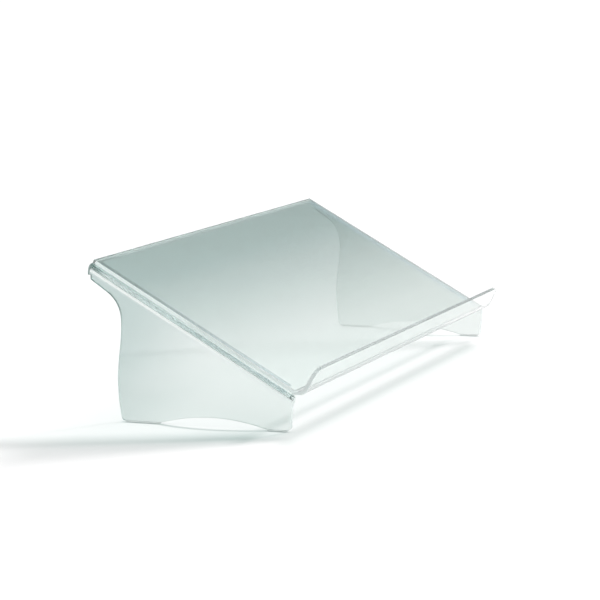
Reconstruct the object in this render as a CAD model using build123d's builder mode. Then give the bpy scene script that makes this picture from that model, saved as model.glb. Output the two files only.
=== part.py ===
"""Clear desk document holder: a stand bent from one sheet, with a copy plate that slides on its deck."""
import os
from math import cos, radians, sin, tan

from build123d import *

os.makedirs("parts", exist_ok=True)

# Driving dimensions, in millimetres and degrees. Heights are above the desk, and distances
# marked "reach" are measured towards the user from the rear corner of the feet.
stand_width = 450.0
deck_slope = 29.5
stand_sheet = 4.0
stand_bend = 6.0            # outer radius of the two bends between deck and legs
deck_overhang = 25.6        # how far the deck's rear end stands behind the feet
deck_rear_height = 125.5    # top of the deck at that rear end
front_foot_reach = 145.7
front_edge_lean = 5.9       # the legs' front edges lean towards the user
pad_height = 1.0
deck_front_set_back = 1.0   # the deck ends this far behind the start of the plate's front bend
deck_front_corner = 3.0

rear_end_drop = 8.2         # height of the rear end face, down to the step
step_depth = 2.2
step_height = 3.6
underside_slope = 34.1      # lower edge of the strip that the leg leaves under the rear of the deck
leg_rear_curve = 26.4       # radius from that lower edge into the leg's rear edge
waist_reach = 2.4
waist_height = 82.2
heel_overhang = 2.6
heel_height = 30.0
rear_foot_length = 34.0
arch_length = 91.5
arch_height = 7.6
foot_corner = 3.0
arch_corner = 8.0

plate_sheet = 3.0
plate_width = 434.0
plate_flat = 194.5          # from the plate's rear edge to the start of its front bend
plate_bend = 9.0            # outer radius of the front bend
lip_height = 26.6           # from the plate's underside to the top of the lip
lip_corner = 10.0
plate_rear_margin = 2.2     # deck left free behind the plate, along the slope
slide_gap = 0.4             # between deck and plate, filled by the glide strips

strip_width = 5.0
strip_height = 0.35
strip_inset = 3.0           # from the plate's side edge
strip_length = 186.0
strip_end_gap = 2.0         # from the plate's rear edge
stop_width = 2.0
stop_height = 3.4
pad_end_gap = 1.0           # from a foot pad to the start of the arch

# Places that follow from them. The origin is under the middle of the whole holder, on the desk.
slope = radians(deck_slope)
lip_reach = (
    (plate_rear_margin + plate_flat + plate_bend) * cos(slope)
    + (slide_gap + lip_height) * sin(slope)
    - deck_overhang
)
heel_y = (lip_reach - deck_overhang) / 2
deck_rear = Vector(0, heel_y + deck_overhang, deck_rear_height)
uphill = Vector(0, cos(slope), sin(slope))
deck_normal = Vector(0, -sin(slope), cos(slope))

past = 20.0                 # cutting shapes run this far past what they cut
deck_plane = Plane(origin=deck_rear, x_dir=(1, 0, 0), z_dir=deck_normal)
side_plane = Plane(origin=deck_rear, x_dir=-uphill, z_dir=(-1, 0, 0))
channel_start = Plane(origin=deck_rear + uphill * past, x_dir=(1, 0, 0), z_dir=-uphill)
plate_rear_s = plate_rear_margin
bend_s = plate_rear_s + plate_flat

# Stand: a sloping deck and two legs, one sheet bent twice. The bent channel is cut to the
# outline of the legs, seen from the side.
underside = radians(underside_slope)
step_y = heel_y + deck_overhang - step_depth
step_z = deck_rear_height - rear_end_drop
waist_y = heel_y - waist_reach
curve_start = Vector(
    waist_y + leg_rear_curve * (1 - sin(underside)),
    waist_height + leg_rear_curve * cos(underside),
)
arch_rear_y = heel_y - rear_foot_length
arch_front_y = arch_rear_y - arch_length
toe_y = heel_y - front_foot_reach
front_top_z = deck_rear_height - bend_s * sin(slope) + past
front_top_y = toe_y - (front_top_z - pad_height) * tan(radians(front_edge_lean))
rear_top_z = deck_rear_height + past
recess_width = stand_width - 2 * stand_bend
channel_length = bend_s + 3 * past
channel_depth = deck_rear_height + 2 * past

with BuildPart() as stand:
    with BuildSketch(channel_start):
        with Locations((0, -channel_depth / 2)):
            outer = Rectangle(stand_width, channel_depth)
        fillet(outer.vertices().group_by(Axis.Y)[-1], stand_bend)
        with BuildSketch(mode=Mode.SUBTRACT):
            with Locations((0, -stand_sheet - channel_depth / 2)):
                inner = Rectangle(stand_width - 2 * stand_sheet, channel_depth)
            fillet(inner.vertices().group_by(Axis.Y)[-1], stand_bend - stand_sheet)
    extrude(amount=channel_length)
    with BuildSketch(Plane.YZ) as leg_outline:
        with BuildLine():
            Line((toe_y, pad_height), (front_top_y, front_top_z))
            Line((front_top_y, front_top_z), (deck_rear.Y, rear_top_z))
            Line((deck_rear.Y, rear_top_z), (deck_rear.Y, step_z))
            Line((deck_rear.Y, step_z), (step_y, step_z))
            Line((step_y, step_z), (step_y, step_z - step_height))
            Line((step_y, step_z - step_height), (curve_start.X, curve_start.Y))
            RadiusArc((curve_start.X, curve_start.Y), (waist_y, waist_height), -leg_rear_curve)
            heel_top = (heel_y + heel_overhang, heel_height)
            Spline((waist_y, waist_height), heel_top, tangents=((0, -1), (0, -1)))
            TangentArc(heel_top, (heel_y, pad_height), tangent=(0, -1))
            Line((heel_y, pad_height), (arch_rear_y, pad_height))
            arch_top = ((arch_rear_y + arch_front_y) / 2, arch_height)
            ThreePointArc((arch_rear_y, pad_height), arch_top, (arch_front_y, pad_height))
            Line((arch_front_y, pad_height), (toe_y, pad_height))
        make_face()
        feet = leg_outline.vertices().group_by(Axis.Y)[0].sort_by(Axis.X)
        fillet([feet[0], feet[3]], foot_corner)
        fillet([feet[1], feet[2]], arch_corner)
    extrude(amount=stand_width, both=True, mode=Mode.INTERSECT)
    with BuildSketch(deck_plane.offset(-stand_sheet)):
        with Locations((0, deck_front_set_back - bend_s)):
            recess = Rectangle(recess_width, past, align=(Align.CENTER, Align.MAX))
        fillet(recess.vertices().group_by(Axis.Y)[-1], deck_front_corner)
    extrude(amount=stand_sheet + past, mode=Mode.SUBTRACT)
stand.part.label = "stand"
export_step(stand.part, "parts/stand.step")

# Sliding plate: the drawer. One flat sheet whose front edge is bent up into a lip.
plate_top = slide_gap + plate_sheet
bend_axis = slide_gap + plate_bend
lip_top = slide_gap + lip_height
inner_bend = plate_bend - plate_sheet
with BuildPart() as sliding_plate:
    with BuildSketch(side_plane.offset(-plate_width / 2)):
        with BuildLine():
            Line((plate_rear_s, slide_gap), (bend_s, slide_gap))
            RadiusArc((bend_s, slide_gap), (bend_s + plate_bend, bend_axis), -plate_bend)
            Line((bend_s + plate_bend, bend_axis), (bend_s + plate_bend, lip_top))
            Line((bend_s + plate_bend, lip_top), (bend_s + inner_bend, lip_top))
            Line((bend_s + inner_bend, lip_top), (bend_s + inner_bend, bend_axis))
            RadiusArc((bend_s + inner_bend, bend_axis), (bend_s, plate_top), inner_bend)
            Line((bend_s, plate_top), (plate_rear_s, plate_top))
            Line((plate_rear_s, plate_top), (plate_rear_s, slide_gap))
        make_face()
    extrude(amount=plate_width)
    lip_ends = sliding_plate.edges().filter_by(Axis(deck_rear, uphill)).filter_by(
        lambda edge: abs(edge.length - plate_sheet) < 0.01 and edge.center().Z > 20
    )
    lip_axis = Axis(deck_rear, deck_normal)
    fillet(lip_ends.group_by(lip_axis)[-1], lip_corner)
sliding_plate.part.label = "sliding_plate"
export_step(sliding_plate.part, "parts/sliding_plate.step")

# Glide strips: thin clear tape on the deck, under the plate's two side margins.
strip_x = plate_width / 2 - strip_inset - strip_width / 2
strip_y = -(plate_rear_s + strip_end_gap + strip_length / 2)
for side, name in ((-1, "left_glide_strip"), (1, "right_glide_strip")):
    with BuildPart() as glide_strip:
        with BuildSketch(deck_plane):
            with Locations((side * strip_x, strip_y)):
                Rectangle(strip_width, strip_length)
        extrude(amount=strip_height)
    glide_strip.part.label = name
    export_step(glide_strip.part, f"parts/{name}.step")

# Rear stop: a clear strip on the deck's rear margin, against which the plate is pushed home.
with BuildPart() as rear_stop:
    with BuildSketch(deck_plane):
        with Locations((0, -stop_width / 2)):
            Rectangle(plate_width, stop_width)
    extrude(amount=stop_height)
rear_stop.part.label = "rear_stop"
export_step(rear_stop.part, "parts/rear_stop.step")

# Foot pads: clear anti-slip strips under the two flats of each leg.
leg_x = (stand_width - stand_sheet) / 2
pad_rear = (heel_y - foot_corner, arch_rear_y + pad_end_gap)
pad_front = (arch_front_y - pad_end_gap, toe_y + foot_corner)
for side, side_name in ((-1, "left"), (1, "right")):
    for end_name, (back_y, front_y) in (("rear", pad_rear), ("front", pad_front)):
        with BuildPart() as foot_pad:
            with BuildSketch(Plane.XY):
                with Locations((side * leg_x, (back_y + front_y) / 2)):
                    Rectangle(stand_sheet, back_y - front_y)
            extrude(amount=pad_height)
        name = f"{end_name}_{side_name}_foot_pad"
        foot_pad.part.label = name
        export_step(foot_pad.part, f"parts/{name}.step")
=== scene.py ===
import bpy
from math import cos, radians, sin
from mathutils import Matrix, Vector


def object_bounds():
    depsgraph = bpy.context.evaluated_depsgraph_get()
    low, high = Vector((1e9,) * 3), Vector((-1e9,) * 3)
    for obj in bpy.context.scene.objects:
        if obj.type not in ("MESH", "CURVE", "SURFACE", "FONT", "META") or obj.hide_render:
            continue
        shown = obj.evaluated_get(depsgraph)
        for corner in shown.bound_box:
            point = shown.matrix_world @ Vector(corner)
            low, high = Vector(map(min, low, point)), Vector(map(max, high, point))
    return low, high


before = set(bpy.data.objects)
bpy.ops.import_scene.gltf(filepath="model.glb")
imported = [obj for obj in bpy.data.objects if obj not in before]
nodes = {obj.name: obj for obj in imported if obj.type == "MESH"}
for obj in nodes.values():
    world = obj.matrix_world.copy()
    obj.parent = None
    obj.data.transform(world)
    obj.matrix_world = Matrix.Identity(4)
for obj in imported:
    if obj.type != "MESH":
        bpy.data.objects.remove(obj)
cad_low, cad_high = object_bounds()
bpy.ops.object.select_all(action="DESELECT")

# Camera: low and to the left of the holder, looking along the deck, with the long lens of a
# product photograph.
bpy.ops.object.camera_add(
    location=(-1.81012, -0.78274, 0.37324),
    rotation=(radians(81.1467), radians(1.5612), radians(-66.6131)),
)
camera = bpy.context.object
camera.name = "photo_camera"
camera.data.lens = 138.0
camera.data.sensor_width = 36.0
camera.data.shift_x = -0.0051
camera.data.clip_start = 0.05
camera.data.clip_end = 200.0
bpy.context.scene.camera = camera
bpy.context.scene.view_settings.view_transform = "Standard"

# Long light paths: what shows in the edge of a clear sheet has been mirrored to and fro
# between its faces many times on its way from the opposite edge.
mirrorings = 200
cycles = bpy.context.scene.cycles
cycles.max_bounces = mirrorings
cycles.transmission_bounces = mirrorings
cycles.glossy_bounces = mirrorings
cycles.transparent_max_bounces = 24

# Room: a white studio, bright in front of the holder, behind it and along the horizon, with a
# dark gap high up between and a dim ceiling. The sloping sheets mirror the edge of that gap.
def add_node(tree, kind, inputs, **settings):
    """Make a shader node. Each input gets a plain value, or is wired to the socket given."""
    node = tree.nodes.new(kind)
    for setting, value in settings.items():
        setattr(node, setting, value)
    for socket, value in inputs.items():
        if isinstance(value, bpy.types.NodeSocket):
            tree.links.new(value, node.inputs[socket])
        else:
            node.inputs[socket].default_value = value
    return node


def reach(tree, vector, way, **settings):
    """Measure how far a vector reaches along a direction."""
    inputs = {0: vector, 1: way}
    node = add_node(tree, "ShaderNodeVectorMath", inputs, operation="DOT_PRODUCT", **settings)
    return node.outputs["Value"]


def span(tree, value, start=0.0, end=1.0, low=0.0, high=1.0, **settings):
    """Turn the stretch from start to end into the stretch from low to high."""
    inputs = {"Value": value, "From Min": start, "From Max": end, "To Min": low, "To Max": high}
    return add_node(tree, "ShaderNodeMapRange", inputs, **settings).outputs["Result"]


def mix(tree, factor, first, second, data_type="RGBA", **settings):
    """Go from a first colour, or number, to a second one."""
    inputs = {"Factor": factor, "A": first, "B": second}
    node = add_node(tree, "ShaderNodeMix", inputs, data_type=data_type, **settings)
    return node.outputs["Result"]


def mix_shader(tree, factor, first, second):
    """Go from a first shader to a second one."""
    inputs = {"Fac": factor, 1: first, 2: second}
    return add_node(tree, "ShaderNodeMixShader", inputs).outputs[0]


def grey(level):
    """Give a colour without a hue."""
    return (level, level, level, 1)


# The walls and the gap are placed on a way that runs from 0, behind the holder, to 1, in front.
rear_wall_end, front_wall_start = 0.33, 0.57
gap_start, gap_end = 0.39, 0.49
rear_level, gap_level, front_level = 0.80, 0.12, 1.10
world = bpy.data.worlds.new("studio_room")
bpy.context.scene.world = world
world.use_nodes = True
room = world.node_tree
direction = room.nodes.new("ShaderNodeTexCoord").outputs["Generated"]
frontness = reach(room, direction, (0.0, -0.951, 0.310))
walls = add_node(room, "ShaderNodeValToRGB", {"Fac": span(room, frontness, start=-1.0, end=1.0)})
ramp = walls.color_ramp
ramp.interpolation = "EASE"
ramp.elements[0].position = rear_wall_end
ramp.elements[0].color = grey(rear_level)
ramp.elements[1].position = front_wall_start
ramp.elements[1].color = grey(front_level)
for spot in (gap_start, gap_end):
    ramp.elements.new(spot).color = grey(gap_level)
height = add_node(room, "ShaderNodeSeparateXYZ", {0: direction}).outputs["Z"]
soft = {"interpolation_type": "SMOOTHSTEP"}
ceiling = span(room, height, start=0.52, end=0.72, low=1.0, high=0.22, **soft)
horizon = span(room, height, start=0.36, end=0.24, **soft)
sweep = mix(room, horizon, walls.outputs["Color"], grey(1.0))
surroundings = room.nodes["Background"]
room.links.new(sweep, surroundings.inputs["Color"])
room.links.new(ceiling, surroundings.inputs["Strength"])
backdrop = add_node(room, "ShaderNodeBackground", {"Color": grey(1.0), "Strength": 1.1})
seen = room.nodes.new("ShaderNodeLightPath").outputs["Is Camera Ray"]
view = mix_shader(room, seen, surroundings.outputs[0], backdrop.outputs[0])
room.links.new(view, room.nodes["World Output"].inputs["Surface"])

# Key lights: a small soft lamp from the front right and a wider one from the right. Between
# them they throw the shadows of the rims and bends to the left.
for name, spot, tilt, turn, width, power in (
    ("front_key_light", (1.2, -0.9, 0.9), 58.7, -34.0, 7.5, 2.0),
    ("side_key_light", (1.4, -0.2, 0.9), 53.5, -2.0, 15.0, 2.8),
):
    bpy.ops.object.light_add(type="SUN", location=spot)
    key = bpy.context.object
    key.name = name
    key.rotation_euler = (0.0, radians(tilt), radians(turn))
    key.data.angle = radians(width)
    key.data.energy = power
    key.visible_glossy = False
    key.visible_transmission = False

# Floor: a plain white sweep, wide enough to fill the picture behind the holder. It lies a hair
# below the desk height, clear of the undersides of the foot pads.
def new_material(name):
    """Make a material, and hand it over with its node tree and its shader."""
    material = bpy.data.materials.new(name)
    material.use_nodes = True
    return material, material.node_tree, material.node_tree.nodes["Principled BSDF"]


floor_size = 80.0
floor_drop = 0.0002
bpy.ops.mesh.primitive_plane_add(size=floor_size, location=(0.0, 0.0, -floor_drop))
floor = bpy.context.object
floor.name = "studio_floor"
paper, _, shader = new_material("white_paper")
shader.inputs["Base Color"].default_value = grey(0.825)
shader.inputs["Roughness"].default_value = 0.9
shader.inputs["Specular IOR Level"].default_value = 0.0
floor.data.materials.append(paper)

# Stand: clear cast acrylic with a slight green cast, 4 mm thick, heated and bent down into two
# legs. Its faces are polished; its cut edges are scraped and a little frosted.
def calc(tree, operation, *values, **settings):
    """Work a number out from others."""
    inputs = dict(enumerate(values))
    node = add_node(tree, "ShaderNodeMath", inputs, operation=operation, **settings)
    return node.outputs[0]


def noise(tree, position, scale, detail):
    """Make a cloudy pattern that is fixed to the piece."""
    inputs = {"Vector": position, "Scale": scale, "Detail": detail}
    return add_node(tree, "ShaderNodeTexNoise", inputs).outputs["Fac"]


def relief(tree, surface, strength, depth):
    """Raise and lower the surface a little, by a pattern."""
    inputs = {"Height": surface, "Strength": strength, "Distance": depth}
    return add_node(tree, "ShaderNodeBump", inputs).outputs["Normal"]


def dress(name, material):
    """Give a piece its material."""
    nodes[name].data.materials.clear()
    nodes[name].data.materials.append(material)


slope = radians(29.5)
uphill = (0.0, cos(slope), sin(slope))
deck_normal = (0.0, -sin(slope), cos(slope))
sheet, net, shader = new_material("clear_acrylic_4mm")
shader.inputs["IOR"].default_value = 1.49
shader.inputs["Transmission Weight"].default_value = 1.0
place = net.nodes.new("ShaderNodeTexCoord")
position, facing = place.outputs["Object"], place.outputs["Normal"]

# The stand has a slight green cast, and shade is painted into its colour.
# The painted shade darkens the deck towards its rear and the legs towards their tops and rear;
# the front of the deck and the toes stay lighter.
deck_front_tint, deck_rear_painted_shade = (0.865, 0.935, 0.91, 1), (0.50, 0.645, 0.62, 1)
leg_toe_tint, leg_top_painted_shade = (0.82, 0.86, 0.845, 1), (0.50, 0.595, 0.58, 1)
deck_depth = span(net, reach(net, position, uphill), start=-0.010, end=0.110)
deck_tint_and_painted_shade = mix(net, deck_depth, deck_front_tint, deck_rear_painted_shade, name="deck_tint_and_painted_shade")
leg_way = reach(net, position, (-0.9, 1.2, 0.9))
leg_depth = span(net, leg_way, start=0.20, end=0.37, **soft)
leg_tint_and_painted_shade = mix(net, leg_depth, leg_toe_tint, leg_top_painted_shade, name="leg_tint_and_painted_shade")

# Its flat faces look sideways or square to the deck. The bends and nearly all of the cut edges
# look another way.
bend_tint = (0.82, 0.87, 0.86, 1)
leg_side = reach(net, facing, (1.0, 0.0, 0.0), name="second_face")
leg_share = calc(net, "ABSOLUTE", leg_side, name="second_face_share")
deck_share = calc(net, "ABSOLUTE", reach(net, facing, deck_normal))
flat = span(net, calc(net, "MAXIMUM", leg_share, deck_share), start=0.93, end=0.999)
# The faces take the green cast with its painted shade; the bends keep a plain tint.
face_tint_and_painted_shade = mix(net, leg_share, deck_tint_and_painted_shade, leg_tint_and_painted_shade)
colour = mix(net, flat, bend_tint, face_tint_and_painted_shade, name="colour")
net.links.new(colour, shader.inputs["Base Color"])

# The cut edges are whitened by scraping, the bends are less smooth than the faces, and hair
# scratches dull the faces here and there. The whole surface waves a little.
bend_roughness = 0.22
edge_clearness = 0.5
edge_side = reach(net, facing, uphill, name="cut_edge")
edge_share = calc(net, "ABSOLUTE", edge_side, name="cut_edge_share")
edge = span(net, edge_share, start=0.05, end=0.15)
scratches = noise(net, position, scale=90.0, detail=4.0)
polish = span(net, scratches, start=0.35, end=0.75, high=0.02)
frosting = span(net, scratches, low=0.26, high=0.46)
smooth = mix(net, flat, bend_roughness, polish, data_type="FLOAT")
finish = mix(net, edge, smooth, frosting, data_type="FLOAT")
net.links.new(finish, shader.inputs["Roughness"])
clearness = span(net, edge, low=1.0, high=edge_clearness, name="clearness")
net.links.new(clearness, shader.inputs["Transmission Weight"])
waves = noise(net, position, scale=11.0, detail=1.0)
net.links.new(relief(net, waves, strength=0.5, depth=0.00004), shader.inputs["Normal"])

# Lamp light, and the light that the floor gathers, goes straight through the faces. The bends,
# the cut edges and the deck's left rim take some of it away, the rim most at the rear.
rim_start = cad_low[0] + 0.011
rim_end = cad_low[0] + 0.053
rim_front_light, rim_rear_light = (0.60, 0.71, 0.69, 1), (0.02, 0.22, 0.19, 1)
face_light = (0.975, 0.985, 0.983, 1)
bend_light = (0.42, 0.50, 0.48, 1)
across = add_node(net, "ShaderNodeSeparateXYZ", {0: position}).outputs["X"]
inside = span(net, across, start=rim_start, end=rim_end, **soft)
clear_of_rim = calc(net, "MAXIMUM", inside, leg_share)
rim_dark = mix(net, deck_depth, rim_front_light, rim_rear_light)
rim_light = mix(net, clear_of_rim, rim_dark, face_light, name="rim_light")
lamp_light = mix(net, flat, bend_light, rim_light, name="lamp_light")
open_way = add_node(net, "ShaderNodeBsdfTransparent", {"Color": lamp_light}).outputs["BSDF"]
ray = net.nodes.new("ShaderNodeLightPath").outputs
for_lamps = mix_shader(net, ray["Is Shadow Ray"], shader.outputs["BSDF"], open_way)
for_floor = mix_shader(net, ray["Is Diffuse Ray"], for_lamps, open_way)
net.links.new(for_floor, net.nodes["Material Output"].inputs["Surface"])
mass_inputs = {"Color": (0.70, 0.87, 0.85, 1), "Density": 0.9}
mass = add_node(net, "ShaderNodeVolumeAbsorption", mass_inputs).outputs[0]
net.links.new(mass, net.nodes["Material Output"].inputs["Volume"])
dress("stand", sheet)

# Sliding plate: the same acrylic, 3 mm thick and clearer, its front edge bent up into a lip.
# Its left edge is lightly frosted, its right edge is coloured dark as painted shade, and its lip
# throws a light shadow.
thin_sheet = sheet.copy()
thin_sheet.name = "clear_acrylic_3mm"
net = thin_sheet.node_tree
steps = net.nodes
# Painted shade, slight: the plate's faces go from pale at the front to a little deeper at the
# rear.
pale_tint, deeper_painted_shade_tint = (0.96, 0.98, 0.975, 1), (0.92, 0.95, 0.945, 1)
# Painted shade: the plate's right edge is coloured dark grey green.
right_edge_painted_shade = (0.30, 0.38, 0.36, 1)
for tint in ("deck_tint_and_painted_shade", "leg_tint_and_painted_shade"):
    steps[tint].inputs["A"].default_value = pale_tint
    steps[tint].inputs["B"].default_value = deeper_painted_shade_tint
steps["second_face"].inputs[1].default_value = uphill
steps["cut_edge"].inputs[1].default_value = (-1.0, 0.0, 0.0)
steps["cut_edge_share"].operation = "MAXIMUM"
steps["cut_edge_share"].inputs[1].default_value = 0.0
steps["clearness"].inputs["To Max"].default_value = 0.92
# The right edge gets the dark colour of painted shade.
right_edge = span(net, steps["cut_edge"].outputs["Value"], start=-0.5, end=-0.9)
edge_colour_with_painted_shade = mix(net, right_edge, pale_tint, right_edge_painted_shade)
net.links.new(edge_colour_with_painted_shade, steps["colour"].inputs["A"])
steps["lamp_light"].inputs["A"].default_value = (0.55, 0.62, 0.60, 1)
lip_share = steps["second_face_share"].outputs[0]
lip_light = mix(net, lip_share, steps["rim_light"].outputs["Result"], (0.75, 0.82, 0.80, 1))
net.links.new(lip_light, steps["lamp_light"].inputs["B"])
dress("sliding_plate", thin_sheet)

# Rear stop: a narrow strip of clear acrylic, 2 mm thick, glued on edge to the deck's rear
# margin. Its rear face is lightly frosted where the strip was sawn off.
# The strip keeps the plate's colour, with its painted shade deeper towards the rear.
strip = thin_sheet.copy()
strip.name = "clear_acrylic_strip"
strip.node_tree.nodes["cut_edge"].inputs[1].default_value = uphill
dress("rear_stop", strip)

# Glide strips: clear polypropylene tape, a third of a millimetre thick, stuck to the deck. It
# looks faintly blue and its glossy back is worn dull in patches by the plate.
def patchy_plastic(name, alpha, scale, detail, tints, roughness, bump):
    """Make a see-through plastic with patches that change its tint, its gloss and its surface."""
    material, net, shader = new_material(name)
    shader.inputs["Alpha"].default_value = alpha
    position = net.nodes.new("ShaderNodeTexCoord").outputs["Object"]
    patches = noise(net, position, scale, detail)
    glossy, dull = roughness
    strength, depth = bump
    net.links.new(mix(net, patches, *tints), shader.inputs["Base Color"])
    net.links.new(span(net, patches, low=glossy, high=dull), shader.inputs["Roughness"])
    net.links.new(relief(net, patches, strength, depth), shader.inputs["Normal"])
    return material


tape = patchy_plastic(
    "clear_tape",
    alpha=0.22,
    scale=45.0,
    detail=5.0,
    tints=((0.50, 0.72, 0.86, 1), (0.66, 0.80, 0.90, 1)),
    roughness=(0.15, 0.45),
    bump=(0.2, 0.00005),
)
for side in ("left", "right"):
    dress(f"{side}_glide_strip", tape)

# Foot pads: soft clear silicone, 1 mm thick, glued under the flats of the legs.
# It is hazy, with a fine matt skin. Its dark grey colour is painted shade for the dark line where
# the legs stand; tint and gloss vary in patches.
silicone = patchy_plastic(
    "clear_silicone_with_painted_shade",
    alpha=0.15,
    scale=160.0,
    detail=6.0,
    tints=((0.30, 0.37, 0.36, 1), (0.46, 0.52, 0.51, 1)),
    roughness=(0.45, 0.75),
    bump=(0.3, 0.0001),
)
for side in ("left", "right"):
    for end in ("front", "rear"):
        dress(f"{end}_{side}_foot_pad", silicone)
